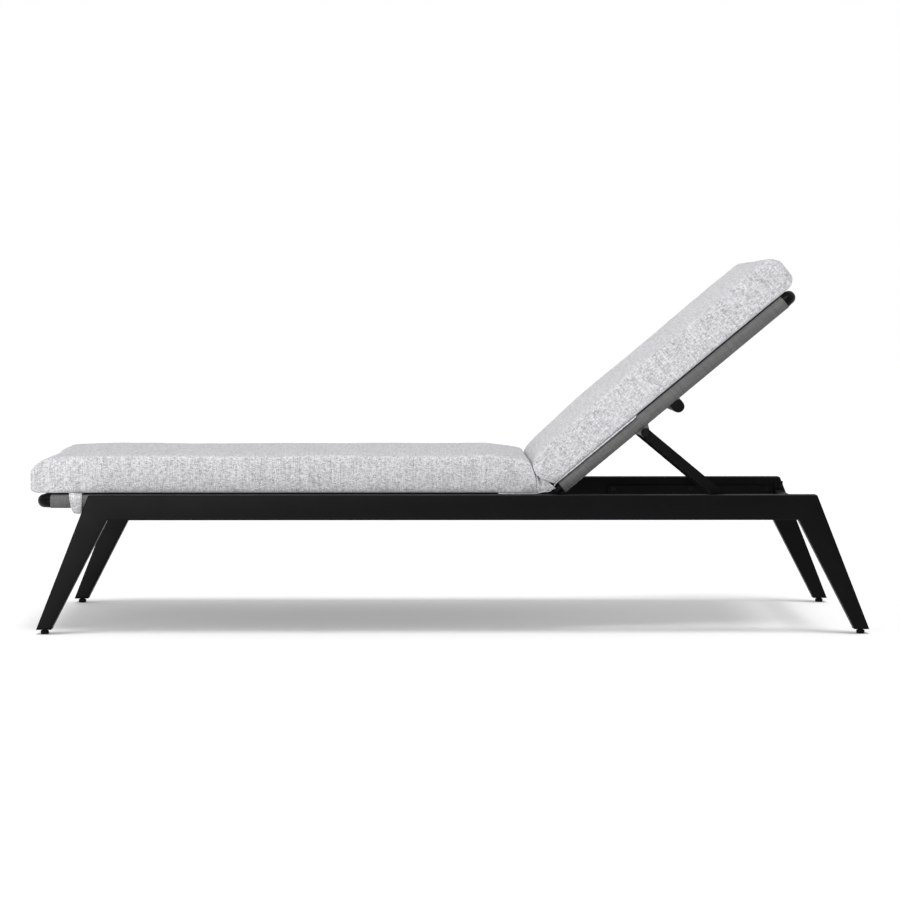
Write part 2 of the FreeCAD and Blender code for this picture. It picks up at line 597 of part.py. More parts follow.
def make_slings():
    bores = tube_bolt_bores()
    slits = []
    for side in SIDES.values():
        inner = TUBE_Y - SLING_OUTER - 0.4
        slits.append(box((STRAP_X[0] - 2, STRAP_X[1] + 2), (side * (inner - 4.0), side * (inner + 1.0)),
                         (PANEL_BOTTOM - 1, PANEL_TOP + 1)))
    rear_notch = rod_y(CROSS_TUBE_RADIUS + 0.5, TUBE_Y - 25, TUBE_Y, SEAT_REAR_TUBE_X, TUBE_Z)
    seat_hem = sling_hem(SEAT_SLING_START, SEAT_SLING_END, bores + [rear_notch])
    save("seat_sling_panel", sling_panel(SEAT_SLING_START, SEAT_SLING_END, slits))
    pivot_x = HINGE_X + ARM_LENGTH
    ear_notch = box((pivot_x - 22, pivot_x + 22), (EAR_Y - 1, EAR_Y + EAR_THICKNESS + 1),
                    (TUBE_Z - 20, TUBE_Z))
    stretcher_notch = rod_y(STRETCHER_RADIUS + 0.5, TUBE_Y - 25, TUBE_Y + 25, HINGE_X + STRETCHER,
                            TUBE_Z - TUBE_RADIUS - STRETCHER_RADIUS)
    lower_notch = rod_y(CROSS_TUBE_RADIUS + 0.5, TUBE_Y - 25, TUBE_Y, HINGE_X + BACK_LOWER_TUBE, TUBE_Z)
    back_hem = sling_hem(HINGE_X + BACK_SLING_START, HINGE_X + BACK_SLING_END,
                         [ear_notch, stretcher_notch, lower_notch])
    save("back_sling_panel", raised(sling_panel(HINGE_X + BACK_SLING_START, HINGE_X + BACK_SLING_END, [])))
    for name, side in SIDES.items():
        save("seat_sling_hem_" + name, mirrored(seat_hem, side))
        save("back_sling_hem_" + name, raised(mirrored(back_hem, side)))


def make_cushion(far_end, top, direction):
    """Pad from its wedge-cut end at the fold to its far end; direction is its way along X."""
    lean = math.tan(math.radians(WEDGE_ANGLE))
    fold_low = HINGE_X + direction * (CUSHION_BOTTOM - HINGE_Z) * lean
    fold_high = HINGE_X + direction * (top - HINGE_Z) * lean
    corners = [(fold_low, CUSHION_BOTTOM), (fold_high, top), (far_end, top), (far_end, CUSHION_BOTTOM)]
    radii = [3.0, 30.0, CUSHION_ROUNDING + 10.0, CUSHION_ROUNDING]
    wire = rounded_outline(corners, radii, -CUSHION_HALF_WIDTH)
    return Part.Face(wire).extrude(point(0, 2.0 * CUSHION_HALF_WIDTH, 0))


def make_strap():
    """Loop of tape round the +Y seat tube, its flat top caught under the cushion."""
    inner_half = SLING_OUTER + 0.5
    outer_half = inner_half + STRAP_THICKNESS
    bend_z = STRAP_BOTTOM + outer_half
    top = CUSHION_BOTTOM - 0.3
    pieces = []
    for half, roof in ((outer_half, top), (inner_half, top - STRAP_THICKNESS)):
        bottom = rod_x(half, STRAP_X[0], STRAP_X[1], TUBE_Y, bend_z)
        sides = box(STRAP_X, (TUBE_Y - half, TUBE_Y + half), (bend_z, roof))
        pieces.append(bottom.fuse(sides))
    return pieces[0].cut(pieces[1]).removeSplitter()


def make_soft_parts():
    save("seat_cushion", make_cushion(SEAT_CUSHION_FOOT, SEAT_CUSHION_TOP, -1.0))
    save("back_cushion", raised(make_cushion(HINGE_X + BACK_CUSHION_END, BACK_CUSHION_TOP, 1.0)))
    strap = make_strap()
    for name, side in SIDES.items():
        save("strap_loop_" + name, mirrored(strap, side))
    save("cushion_flap", box(FLAP, (-FLAP_HALF_WIDTH, FLAP_HALF_WIDTH),
                             (CUSHION_BOTTOM - 0.2 - FLAP_THICKNESS, CUSHION_BOTTOM - 0.2)))


os.makedirs("parts", exist_ok=True)
make_side_frames()
make_feet()
make_beams()
make_saddles()
make_seat_frame()
make_back_frame()
make_hinge()
make_bail()
make_racks()
make_slings()
make_soft_parts()
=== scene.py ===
"""Reclining sun lounger: black frame on splayed legs, grey sling and light melange cushions.

Metres, +Z up, floor at Z = 0, foot end at -X, left side at -Y. Soft pieces of the back are made on
the flat back and then raised about the hinge to its rest angle.
"""
import json
import math
import random

import bmesh
import bpy
from mathutils import Matrix, Vector, noise


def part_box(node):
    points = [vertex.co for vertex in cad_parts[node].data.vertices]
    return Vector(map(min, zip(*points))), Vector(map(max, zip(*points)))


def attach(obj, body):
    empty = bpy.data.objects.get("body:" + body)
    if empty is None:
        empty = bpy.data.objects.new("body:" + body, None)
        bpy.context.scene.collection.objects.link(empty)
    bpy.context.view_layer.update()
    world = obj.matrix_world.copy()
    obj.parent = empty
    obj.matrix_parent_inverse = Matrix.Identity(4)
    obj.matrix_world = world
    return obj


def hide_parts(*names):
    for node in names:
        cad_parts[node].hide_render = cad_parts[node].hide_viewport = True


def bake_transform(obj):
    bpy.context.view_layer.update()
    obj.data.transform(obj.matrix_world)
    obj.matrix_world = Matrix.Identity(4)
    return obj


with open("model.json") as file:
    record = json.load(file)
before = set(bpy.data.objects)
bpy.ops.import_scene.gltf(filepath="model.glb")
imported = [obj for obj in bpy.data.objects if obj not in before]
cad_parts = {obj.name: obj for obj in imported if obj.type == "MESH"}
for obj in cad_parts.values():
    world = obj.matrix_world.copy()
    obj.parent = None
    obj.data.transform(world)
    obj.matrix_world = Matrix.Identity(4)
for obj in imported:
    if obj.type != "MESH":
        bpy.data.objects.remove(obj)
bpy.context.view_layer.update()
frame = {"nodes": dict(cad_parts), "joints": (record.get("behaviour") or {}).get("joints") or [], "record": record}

NODES = frame["nodes"]
JOINTS = {joint["name"]: joint for joint in frame["joints"]}

# ---- sizes and places, from the frame -----------------------------------------------------------
HINGE = Vector(JOINTS["back_recline"]["pos_m"])
REST_ANGLE = -math.radians(JOINTS["back_recline"]["range_deg"][0])
HALF_ANGLE = REST_ANGLE / 2.0
RAISE = Matrix.Translation(HINGE) @ Matrix.Rotation(-REST_ANGLE, 4, "Y") @ Matrix.Translation(-HINGE)
SIDES = {"left": -1.0, "right": 1.0}

# Round side tubes of the seat and the back, the turned corners at their ends and the cross tubes.
TUBE_RADIUS = 0.015
TUBE_Y = 0.284
TUBE_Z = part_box("seat_foot_tube")[1][2] - TUBE_RADIUS
CROSS_TUBE_RADIUS = 0.0102
BACK_REAR_TUBE = HINGE.x + 0.082
BEND_RADIUS = 0.024
SEAT_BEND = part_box("seat_foot_tube")[0][0] + TUBE_RADIUS + BEND_RADIUS
BACK_BEND = HINGE.x + 0.794 - TUBE_RADIUS - BEND_RADIUS
FOOT_WIDTH = 0.036
FRAME_ROUNDING = 0.0035

# Slings: radius of the sleeves round the tubes, and the start and the end of each sling.
SLING_RADIUS = 0.0157
SLING_THICKNESS = 0.001
SLING_TOP = TUBE_Z + 0.0165
SLING_DIP = 0.006
SEAT_SLING = (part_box("seat_sling_hem_left")[0][0] - 0.007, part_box("seat_sling_hem_left")[1][0])
BACK_SLING = (HINGE.x + 0.064, HINGE.x + 0.762)
SEAM_ROWS = (0.2425, 0.2505)

# Pads: both stand on the slings and meet at a plane through the hinge, half way up to the back.
CUSHION_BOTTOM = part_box("seat_cushion")[0][2] + 0.0008
CUSHION_HALF = 0.298
SEAT_FOOT = -1.0235
BACK_HEAD = HINGE.x + 0.8195
FOLD_LEAN = math.tan(HALF_ANGLE)
PAD_CELL = 0.0105
PAD_CELLS_ACROSS = 56
PAD_CELLS_UP = 8
PAD_OVERLAP = 0.011
CLOTH_SHEET = 0.0018

# Spacing, length and width of the beads in each kind of row.
WELD_BEAD = (0.0013, 0.0030, 0.0030)
SLING_STITCH = (0.0042, 0.0032, 0.0007)
PAD_STITCH = (0.0052, 0.0036, 0.0009)


def on_back(x, y, z):
    """A point drawn on the flat back, raised to the rest angle."""
    return RAISE @ Vector((x, y, z))


# ---- shader helpers ------------------------------------------------------------------------------
class Graph:
    """Short calls for making nodes and links in one node tree."""

    def __init__(self, tree):
        self.tree = tree

    def node(self, kind, **settings):
        """A new node with its settings."""
        made = self.tree.nodes.new(kind)
        for name, value in settings.items():
            setattr(made, name, value)
        return made

    def feed(self, socket, value):
        """Links a socket to the input, or sets the input's own value."""
        if isinstance(value, bpy.types.NodeSocket):
            self.tree.links.new(value, socket)
        elif value is not None:
            socket.default_value = value

    def math(self, operation, a, b=None, clamp=False):
        """One calculation on one or two values."""
        made = self.node("ShaderNodeMath", operation=operation, use_clamp=clamp)
        for socket, value in zip(made.inputs, (a, b)):
            self.feed(socket, value)
        return made.outputs[0]

    def mix(self, share, a, b, blend="MIX"):
        """Colour a turned into colour b by a share."""
        made = self.node("ShaderNodeMix", data_type="RGBA", blend_type=blend)
        self.feed(made.inputs[0], share)
        self.feed(made.inputs[6], a)
        self.feed(made.inputs[7], b)
        return made.outputs[2]

    def noise(self, vector, scale, detail=2.0, roughness=0.5):
        """Cloudy random value from 0 to 1."""
        made = self.node("ShaderNodeTexNoise")
        self.feed(made.inputs["Vector"], vector)
        self.feed(made.inputs["Scale"], scale)
        self.feed(made.inputs["Detail"], detail)
        self.feed(made.inputs["Roughness"], roughness)
        return made.outputs["Fac"]

    def ramp(self, value, low, high):
        """0 at the low value, 1 at the high one."""
        made = self.node("ShaderNodeMapRange", clamp=True)
        self.feed(made.inputs["Value"], value)
        self.feed(made.inputs["From Min"], low)
        self.feed(made.inputs["From Max"], high)
        return made.outputs["Result"]

    def join(self, x, y, z=0.0):
        """A vector from its parts."""
        made = self.node("ShaderNodeCombineXYZ")
        for socket, value in zip(made.inputs, (x, y, z)):
            self.feed(socket, value)
        return made.outputs[0]

    def split(self, vector):
        """The parts of a vector."""
        made = self.node("ShaderNodeSeparateXYZ")
        self.feed(made.inputs[0], vector)
        return made.outputs


def shader_group(name, inputs, outputs):
    """An empty shader group with named sockets; gives its graph, inputs and outputs."""
    tree = bpy.data.node_groups.new(name, "ShaderNodeTree")
    kinds = {"value": "NodeSocketFloat", "vector": "NodeSocketVector", "colour": "NodeSocketColor"}
    for socket, kind, default in inputs:
        made = tree.interface.new_socket(socket, in_out="INPUT", socket_type=kinds[kind])
        if default is not None:
            made.default_value = default
    for socket, kind in outputs:
        tree.interface.new_socket(socket, in_out="OUTPUT", socket_type=kinds[kind])
    graph = Graph(tree)
    start = graph.node("NodeGroupInput")
    end = graph.node("NodeGroupOutput")
    return graph, start.outputs, end.inputs


def yarn_shade(graph, across, along, pitch, slub):
    """Random shade of a yarn: one value per yarn, streaked along its length."""
    apart = 7.31
    count = graph.math("FLOOR", graph.math("DIVIDE", across, pitch))
    run = graph.math("DIVIDE", along, slub)
    return graph.noise(graph.join(graph.math("MULTIPLY", count, apart), run), 1.0, 2.0, 0.6)


def blended(graph, first, share, second):
    """A share of the first value and the rest of the second."""
    rest = graph.math("MULTIPLY", second, 1.0 - share)
    return graph.math("ADD", graph.math("MULTIPLY", first, share), rest)


def weave_group():
    """Plain weave of slubby melange yarns on metre coordinates."""
    graph, given, out = shader_group(
        "melange_weave",
        [("Vector", "vector", None), ("Pitch", "value", 0.0016), ("Slub", "value", 0.007),
         ("Light", "colour", (0.75, 0.75, 0.76, 1)), ("Middle", "colour", (0.5, 0.5, 0.52, 1)),
         ("Dark", "colour", (0.2, 0.2, 0.22, 1))],
        [("Color", "colour"), ("Height", "value")])
    at = graph.split(given["Vector"])
    pitch = given["Pitch"]
    # Yarns that wander a little, and which of the two lies on top.
    bend = graph.noise(given["Vector"], 60.0, 1.0)
    u = graph.math("ADD", at[0], graph.math("MULTIPLY", bend, 0.0016))
    v = graph.math("ADD", at[1], graph.math("MULTIPLY", bend, 0.0012))
    wave_u = graph.math("SINE", graph.math("MULTIPLY", graph.math("DIVIDE", u, pitch), math.pi))
    wave_v = graph.math("SINE", graph.math("MULTIPLY", graph.math("DIVIDE", v, pitch), math.pi))
    over = graph.math("GREATER_THAN", graph.math("MULTIPLY", wave_u, wave_v), 0.0)
    warp = graph.math("ABSOLUTE", wave_u)
    weft = graph.math("ABSOLUTE", wave_v)
    high = graph.math("MAXIMUM", graph.math("MULTIPLY", warp, over),
                      graph.math("MULTIPLY", weft, graph.math("SUBTRACT", 1.0, over)))
    # Shade: the yarn on top, mixed with both directions and with single light and dark fibres.
    long_slub = graph.math("MULTIPLY", given["Slub"], 8.0)
    short_streak = yarn_shade(graph, u, v, pitch, given["Slub"])
    warp_shade = blended(graph, short_streak, 0.55, yarn_shade(graph, u, v, pitch, long_slub))
    weft_shade = yarn_shade(graph, v, u, pitch, given["Slub"])
    shade_mix = graph.node("ShaderNodeMix", data_type="FLOAT")
    graph.feed(shade_mix.inputs[0], over)
    graph.feed(shade_mix.inputs[2], weft_shade)
    graph.feed(shade_mix.inputs[3], warp_shade)
    both = blended(graph, warp_shade, 0.55, weft_shade)
    shade = blended(graph, shade_mix.outputs[0], 0.45, both)
    speck = graph.noise(given["Vector"], 440.0, 1.0, 0.6)
    shade = blended(graph, shade, 0.72, speck)
    # Light and dark yarns on a middle ground, with painted shade in the gaps between the yarns.
    light_part = graph.ramp(shade, 0.48, 0.60)
    dark_part = graph.ramp(shade, 0.50, 0.37)
    colour = graph.mix(light_part, given["Middle"], given["Light"])
    colour = graph.mix(dark_part, colour, given["Dark"])
    # Painted shade: where the yarn height is low, between the yarns, the colour goes towards the dark colour.
    gap = graph.ramp(high, 0.55, 0.05)
    colour = graph.mix(graph.math("MULTIPLY", gap, 0.35), colour, given["Dark"])
    fuzz = graph.noise(given["Vector"], 900.0, 3.0, 0.7)
    height = graph.math("ADD", high, graph.math("MULTIPLY", fuzz, 0.35))
    graph.feed(out["Color"], colour)
    graph.feed(out["Height"], height)
    return graph.tree


def grain_group():
    """Fine texture, soft tone change and dust for painted, moulded and bare parts."""
    graph, given, out = shader_group(
        "fine_grain",
        [("Vector", "vector", None), ("Color", "colour", (0.5, 0.5, 0.5, 1)), ("Grain size", "value", 0.0006),
         ("Tone change", "value", 0.2), ("Dust", "value", 0.1), ("Roughness", "value", 0.5)],
        [("Color", "colour"), ("Roughness", "value"), ("Height", "value")])
    density = graph.math("DIVIDE", 1.0, given["Grain size"])
    grain = graph.noise(given["Vector"], density, 2.0, 0.6)
    cloud = graph.noise(given["Vector"], 9.0, 3.0, 0.6)
    tone = graph.math("MULTIPLY", graph.math("SUBTRACT", cloud, 0.5), given["Tone change"])
    lighter = graph.mix(graph.math("ADD", 0.5, tone, clamp=True), (0, 0, 0, 1), given["Color"])
    colour = graph.mix(1.0, lighter, (2, 2, 2, 1), "MULTIPLY")
    smear = graph.ramp(graph.noise(given["Vector"], 34.0, 4.0, 0.7), 0.52, 0.75)
    dust = graph.math("MULTIPLY", smear, given["Dust"])
    colour = graph.mix(dust, colour, (0.32, 0.31, 0.29, 1))
    rough = graph.math("ADD", given["Roughness"], graph.math("MULTIPLY", tone, 0.6))
    rough = graph.math("ADD", rough, graph.math("MULTIPLY", dust, 0.5), clamp=True)
    graph.feed(out["Color"], colour)
    graph.feed(out["Roughness"], rough)
    graph.feed(out["Height"], grain)
    return graph.tree


WEAVE = weave_group()
GRAIN = grain_group()


def new_material(name):
    """An empty material with its graph and its shader."""
    material = bpy.data.materials.new(name)
    material.use_nodes = True
    graph = Graph(material.node_tree)
    shader = material.node_tree.nodes["Principled BSDF"]
    return material, graph, shader


def put_group(graph, tree, **values):
    """Places a shader group in a material and sets its inputs."""
    made = graph.node("ShaderNodeGroup", node_tree=tree)
    for name, value in values.items():
        graph.feed(made.inputs[name.replace("_", " ")], value)
    return made


def bump(graph, height, depth, strength=1.0):
    """Surface relief of a depth in metres."""
    made = graph.node("ShaderNodeBump")
    made.inputs["Strength"].default_value = strength
    made.inputs["Distance"].default_value = depth
    graph.feed(made.inputs["Height"], height)
    return made.outputs["Normal"]


def grained_material(name, colour, roughness, grain=0.0006, depth=0.00008, tone=0.25, dust=0.06,
                     metallic=0.0, specular=0.5):
    """A painted, moulded or bare finish with fine grain and a little dust."""
    material, graph, shader = new_material(name)
    place = graph.node("ShaderNodeTexCoord").outputs["Object"]
    surface = put_group(graph, GRAIN, Vector=place, Color=(*colour, 1), Grain_size=grain,
                        Tone_change=tone, Dust=dust, Roughness=roughness)
    graph.feed(shader.inputs["Base Color"], surface.outputs["Color"])
    graph.feed(shader.inputs["Roughness"], surface.outputs["Roughness"])
    graph.feed(shader.inputs["Normal"], bump(graph, surface.outputs["Height"], depth))
    shader.inputs["Metallic"].default_value = metallic
    shader.inputs["Specular IOR Level"].default_value = specular
    return material


def cushion_cloth():
    """Light melange cushion cover, woven from thick slubby yarns."""
    material, graph, shader = new_material("melange cushion cloth")
    place = graph.node("ShaderNodeUVMap", uv_map="cloth").outputs["UV"]
    cloth = put_group(graph, WEAVE, Vector=place, Pitch=0.0023, Slub=0.0110,
                      Light=(0.80, 0.80, 0.815, 1), Middle=(0.54, 0.54, 0.555, 1),
                      Dark=(0.22, 0.22, 0.225, 1))
    graph.feed(shader.inputs["Base Color"], cloth.outputs["Color"])
    graph.feed(shader.inputs["Normal"], bump(graph, cloth.outputs["Height"], 0.0005, 0.8))
    shader.inputs["Roughness"].default_value = 0.92
    shader.inputs["Specular IOR Level"].default_value = 0.2
    shader.inputs["Sheen Weight"].default_value = 0.25
    shader.inputs["Sheen Roughness"].default_value = 0.5
    return material


def sling_cloth():
    """Coated mesh cloth with fine ribs across the tube and a few lighter and darker threads."""
    material, graph, shader = new_material("grey sling cloth")
    place = graph.node("ShaderNodeUVMap", uv_map="cloth").outputs["UV"]
    at = graph.split(place)
    cloth = put_group(graph, WEAVE, Vector=place, Pitch=0.0012, Slub=0.05,
                      Light=(0.140, 0.140, 0.137, 1), Middle=(0.110, 0.110, 0.108, 1),
                      Dark=(0.062, 0.062, 0.063, 1))
    bands = graph.noise(graph.join(graph.math("MULTIPLY", at[0], 95.0), 0.0), 1.0, 4.0, 0.7)
    streak = graph.ramp(bands, 0.30, 0.72)
    colour = graph.mix(streak, (0.80, 0.80, 0.80, 1), (1.18, 1.18, 1.17, 1))
    colour = graph.mix(1.0, cloth.outputs["Color"], colour, "MULTIPLY")
    graph.feed(shader.inputs["Base Color"], colour)
    graph.feed(shader.inputs["Normal"], bump(graph, cloth.outputs["Height"], 0.0003, 0.7))
    shader.inputs["Roughness"].default_value = 0.68
    shader.inputs["Specular IOR Level"].default_value = 0.35
    return material


MATERIALS = {
    "black_powder_coat": grained_material(
        "black powder coat", (0.0012, 0.0012, 0.00125), 0.46, grain=0.0007, depth=0.00006, tone=0.3,
        dust=0.004, specular=0.09),
    "grey_powder_coat": grained_material(
        "grey powder coat", (0.105, 0.105, 0.105), 0.55, grain=0.0006, depth=0.00006, tone=0.2, dust=0.03),
    "blackened_steel": grained_material(
        "blackened steel", (0.013, 0.013, 0.0135), 0.42, grain=0.0009, depth=0.00003, tone=0.25, dust=0.02,
        metallic=1.0),
    "black_nylon": grained_material(
        "moulded black nylon", (0.003, 0.003, 0.0031), 0.6, grain=0.0004, depth=0.00006, tone=0.2, dust=0.01,
        specular=0.08),
    "rubber_pad": grained_material(
        "soft black rubber", (0.010, 0.010, 0.010), 0.8, grain=0.0011, depth=0.0001, tone=0.25, dust=0.05,
        specular=0.2),
    "cushion_fabric": cushion_cloth(),
    "sling_fabric": sling_cloth(),
}
THREADS = {
    "sling_thread": grained_material(
        "dark sling thread", (0.05, 0.05, 0.05), 0.7, grain=0.0004, depth=0.00005),
    "cushion_thread": grained_material(
        "light cushion thread", (0.52, 0.52, 0.54), 0.8, grain=0.0004, depth=0.00005),
}
SLOT_OF = {part["node"]: part["material_slot"] for part in frame["record"]["subparts"]}


def finish_named(name):
    """The thread or the material of that name."""
    return THREADS.get(name) or MATERIALS[name]


def dress(piece, slot):
    """Gives a piece its one finish."""
    piece.data.materials.clear()
    piece.data.materials.append(finish_named(slot))


def finish_frame_nodes():
    """The CAD parts keep their shape and get their finish."""
    for name, node in NODES.items():
        for material_slot in node.material_slots:
            material_slot.material = MATERIALS[SLOT_OF[name]]


# ---- mesh helpers ----------------------------------------------------------------------------------
def piece_from(name, mesh_source, slot):
    """A new object at the origin from a bmesh."""
    mesh = bpy.data.meshes.new(name)
    mesh_source.to_mesh(mesh)
    mesh_source.free()
    for face in mesh.polygons:
        face.use_smooth = True
    made = bpy.data.objects.new(name, mesh)
    bpy.context.scene.collection.objects.link(made)
    dress(made, slot)
    return made


def grid_piece(name, rows, slot, uv_rows):
    """A sheet from rows of points; uv_rows gives each point's cloth place in metres."""
    mesh = bmesh.new()
    layer = mesh.loops.layers.uv.new("cloth")
    points = [[mesh.verts.new(p) for p in row] for row in rows]
    for i in range(len(rows) - 1):
        for j in range(len(rows[0]) - 1):
            corners = ((i, j), (i, j + 1), (i + 1, j + 1), (i + 1, j))
            face = mesh.faces.new([points[a][b] for a, b in corners])
            for loop, (a, b) in zip(face.loops, corners):
                loop[layer].uv = uv_rows[a][b]
    return piece_from(name, mesh, slot)


def apply_modifiers(piece):
    """Turns the evaluated piece into its own plain mesh."""
    graph = bpy.context.evaluated_depsgraph_get()
    evaluated = piece.evaluated_get(graph)
    mesh = bpy.data.meshes.new_from_object(evaluated, preserve_all_data_layers=True, depsgraph=graph)
    old = piece.data
    piece.modifiers.clear()
    piece.data = mesh
    bpy.data.meshes.remove(old)


def raise_piece(piece):
    """Turns a piece made on the flat back up to the rest angle."""
    piece.data.transform(RAISE)
    piece.data.update()


# ---- rows of stitches and weld beads ----------------------------------------------------------------
def row_tree():
    """Geometry nodes: one small rounded bead after another along every path."""
    tree = bpy.data.node_groups.new("row_along_path", "GeometryNodeTree")
    tree.interface.new_socket("Geometry", in_out="INPUT", socket_type="NodeSocketGeometry")
    for name, default in (("Spacing", 0.006), ("Bead length", 0.004), ("Bead width", 0.0008)):
        made = tree.interface.new_socket(name, in_out="INPUT", socket_type="NodeSocketFloat")
        made.default_value = default
    tree.interface.new_socket("Finish", in_out="INPUT", socket_type="NodeSocketMaterial")
    tree.interface.new_socket("Geometry", in_out="OUTPUT", socket_type="NodeSocketGeometry")
    graph = Graph(tree)
    given = graph.node("NodeGroupInput").outputs
    curve = graph.node("GeometryNodeMeshToCurve")
    points = graph.node("GeometryNodeCurveToPoints", mode="LENGTH")
    turn = graph.node("FunctionNodeAlignRotationToVector", axis="Z")
    bead = graph.node("GeometryNodeMeshUVSphere")
    bead.inputs["Segments"].default_value = 8
    bead.inputs["Rings"].default_value = 5
    bead.inputs["Radius"].default_value = 0.5
    size = graph.node("ShaderNodeCombineXYZ")
    placed = graph.node("GeometryNodeInstanceOnPoints")
    real = graph.node("GeometryNodeRealizeInstances")
    finish = graph.node("GeometryNodeSetMaterial")
    end = graph.node("NodeGroupOutput")
    graph.feed(curve.inputs["Mesh"], given["Geometry"])
    graph.feed(points.inputs["Curve"], curve.outputs["Curve"])
    graph.feed(points.inputs["Length"], given["Spacing"])
    graph.feed(turn.inputs["Vector"], points.outputs["Tangent"])
    graph.feed(size.inputs["X"], given["Bead width"])
    graph.feed(size.inputs["Y"], given["Bead width"])
    graph.feed(size.inputs["Z"], given["Bead length"])
    graph.feed(placed.inputs["Points"], points.outputs["Points"])
    graph.feed(placed.inputs["Instance"], bead.outputs["Mesh"])
    graph.feed(placed.inputs["Rotation"], turn.outputs["Rotation"])
    graph.feed(placed.inputs["Scale"], size.outputs["Vector"])
    graph.feed(real.inputs["Geometry"], placed.outputs["Instances"])
    graph.feed(finish.inputs["Geometry"], real.outputs["Geometry"])
    graph.feed(finish.inputs["Material"], given["Finish"])
    graph.feed(end.inputs["Geometry"], finish.outputs["Geometry"])
    return tree


ROW = row_tree()


def row_piece(name, paths, slot, spacing, length, width):
    """Beads along polylines; a path that ends where it starts is a closed ring."""
    mesh = bmesh.new()
    for path in paths:
        verts = [mesh.verts.new(p) for p in path]
        for a, b in zip(verts, verts[1:]):
            mesh.edges.new((a, b))
    made = piece_from(name, mesh, slot)
    rows = made.modifiers.new("row", "NODES")
    rows.node_group = ROW
    sockets = {item.name: item.identifier for item in ROW.interface.items_tree if item.in_out == "INPUT"}
    rows[sockets["Spacing"]] = spacing
    rows[sockets["Bead length"]] = length
    rows[sockets["Bead width"]] = width
    rows[sockets["Finish"]] = finish_named(slot)
    apply_modifiers(made)
    for face in made.data.polygons:
        face.use_smooth = True
    return made


def ring_path(centre, radius):
    """A circle round Y."""
    count = 48
    ring = []
    for i in range(count + 1):
        angle = 2.0 * math.pi * i / count
        ring.append(centre + Vector((radius * math.cos(angle), 0, radius * math.sin(angle))))
    return ring


def coped_path(x, z, radius, side):
    """Where a cross tube meets the round side tube."""
    count = 40
    ring = []
    for i in range(count + 1):
        angle = 2.0 * math.pi * i / count
        up = radius * math.sin(angle)
        reach = math.sqrt(max(0.0, TUBE_RADIUS ** 2 - up ** 2))
        ring.append(Vector((x + radius * math.cos(angle), side * (TUBE_Y - reach), z + up)))
    return ring


def make_welds():
    """Beads at the welded joints of the seat's and the back's tubes."""
    seat_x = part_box("seat_foot_tube")[0][0] + TUBE_RADIUS
    butt = TUBE_Y - BEND_RADIUS
    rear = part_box("seat_rear_tube")
    rear_x = (rear[0][0] + rear[1][0]) / 2.0
    seat_paths, back_paths = [], []
    for side in SIDES.values():
        seat_paths.append(ring_path(Vector((seat_x, side * butt, TUBE_Z)), TUBE_RADIUS))
        seat_paths.append(coped_path(rear_x, TUBE_Z, CROSS_TUBE_RADIUS, side))
        back_paths.append(ring_path(Vector((BACK_BEND + BEND_RADIUS, side * butt, TUBE_Z)), TUBE_RADIUS))
        back_paths.append(coped_path(BACK_REAR_TUBE, TUBE_Z, CROSS_TUBE_RADIUS, side))
    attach(row_piece("seat_welds", seat_paths, "black_powder_coat", *WELD_BEAD), "frame")
    welds = row_piece("back_welds", back_paths, "black_powder_coat", *WELD_BEAD)
    raise_piece(welds)
    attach(welds, "back")


# ---- side frames -----------------------------------------------------------------------------------
def make_side_frame(name, side):
    """Rail and two tapered legs as one ground and coated weldment with rounded tube corners."""
    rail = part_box("rail_" + name)
    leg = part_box("head_leg_" + name)
    inner_face = min(abs(rail[0][1]), abs(rail[1][1]))
    outer_face = max(abs(rail[0][1]), abs(rail[1][1]))
    rail_top, rail_bottom = rail[1][2], rail[0][2]
    top_end, foot_outer = rail[1][0], leg[1][0]
    bottom_end, foot_inner = leg[0][0], leg[1][0] - FOOT_WIDTH
    foot = leg[0][2]
    half = [(0.0, rail_top), (top_end, rail_top), (foot_outer, foot), (foot_inner, foot),
            (bottom_end, rail_bottom), (0.0, rail_bottom)]
    outline = half[1:5] + [(-x, z) for x, z in reversed(half[1:5])]
    mesh = bmesh.new()
    near = [mesh.verts.new((x, side * inner_face, z)) for x, z in outline]
    far = [mesh.verts.new((x, side * outer_face, z)) for x, z in outline]
    # The outline is split into rail and legs, so that every face is convex.
    parts = ((0, 1, 2, 3), (0, 3, 4, 7), (4, 5, 6, 7))
    for ring in (near, far):
        for part in parts:
            mesh.faces.new([ring[i] for i in part])
    for i in range(8):
        j = (i + 1) % 8
        mesh.faces.new((near[i], near[j], far[j], far[i]))
    bmesh.ops.recalc_face_normals(mesh, faces=mesh.faces)
    flat_edges = [edge for edge in mesh.edges if edge.calc_face_angle(0.0) > 0.2]
    bmesh.ops.bevel(mesh, geom=flat_edges, offset=FRAME_ROUNDING, segments=4, profile=0.6, affect="EDGES")
    made = piece_from("side_frame_" + name, mesh, "black_powder_coat")
    made.data.shade_smooth()
    made.data.set_sharp_from_angle(angle=math.radians(35))
    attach(made, "frame")
    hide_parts("rail_" + name, "head_leg_" + name, "foot_leg_" + name)


# ---- sling -----------------------------------------------------------------------------------------
def sleeve_path():
    """Half cross-section of the sling, from the middle round the +Y tube to the seam below."""
    path = [(0.0, SLING_TOP)]
    for i in range(1, 10):
        path.append((TUBE_Y * 0.9 * i / 10.0, SLING_TOP))
    for i in range(0, 33):
        angle = math.radians(90.0 - 300.0 * i / 32.0)
        path.append((TUBE_Y + SLING_RADIUS * math.cos(angle), TUBE_Z + SLING_RADIUS * math.sin(angle)))
    # Below the tube the cloth comes back up and is sewn flat under the panel.
    seam_start, seam_end = 0.2535, 0.2400
    path.append(((path[-1][0] + seam_start) / 2.0, TUBE_Z + 0.0125))
    path.append((seam_start - 0.0005, TUBE_Z + 0.0150))
    path.append((seam_end, TUBE_Z + 0.0152))
    return path


